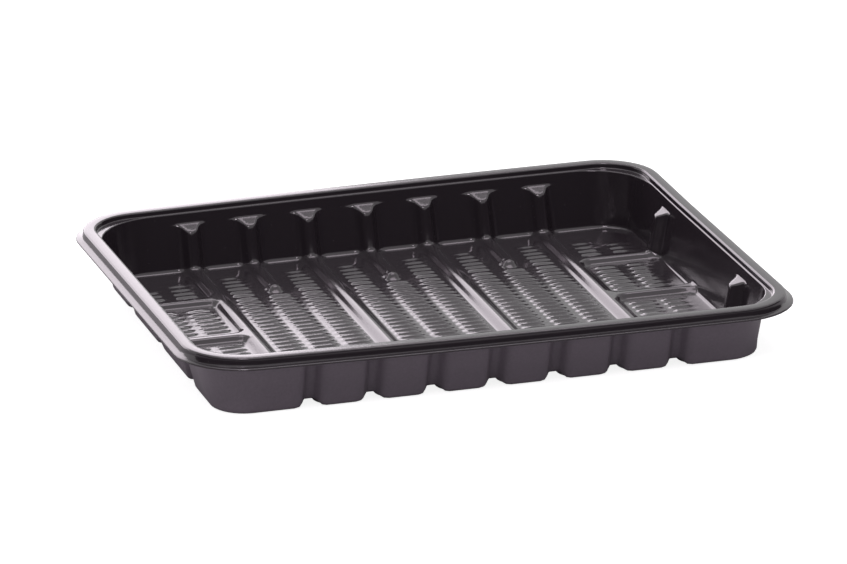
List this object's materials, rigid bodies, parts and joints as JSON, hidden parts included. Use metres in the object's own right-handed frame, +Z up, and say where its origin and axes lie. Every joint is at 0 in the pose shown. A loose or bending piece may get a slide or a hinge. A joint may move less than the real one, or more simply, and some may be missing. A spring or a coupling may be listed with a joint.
{
  "type": "plastic food tray",
  "caption": "Shallow black plastic food tray with a flanged rim, stacking ledges in its corners, ribbed walls and a ribbed, ridged floor.",
  "frame": {"origin": "middle of the tray's outline, on the surface that its underside rests on", "axes": "+X along the long sides, +Y along the short sides, +Z up out of the tray's mouth"},
  "size_m": [0.325, 0.267, 0.0342],
  "materials": {
    "black_plastic": "glossy thermoformed black sheet"
  },
  "bodies": {
    "root": {"tray": "black_plastic"}
  },
  "joints": []
}
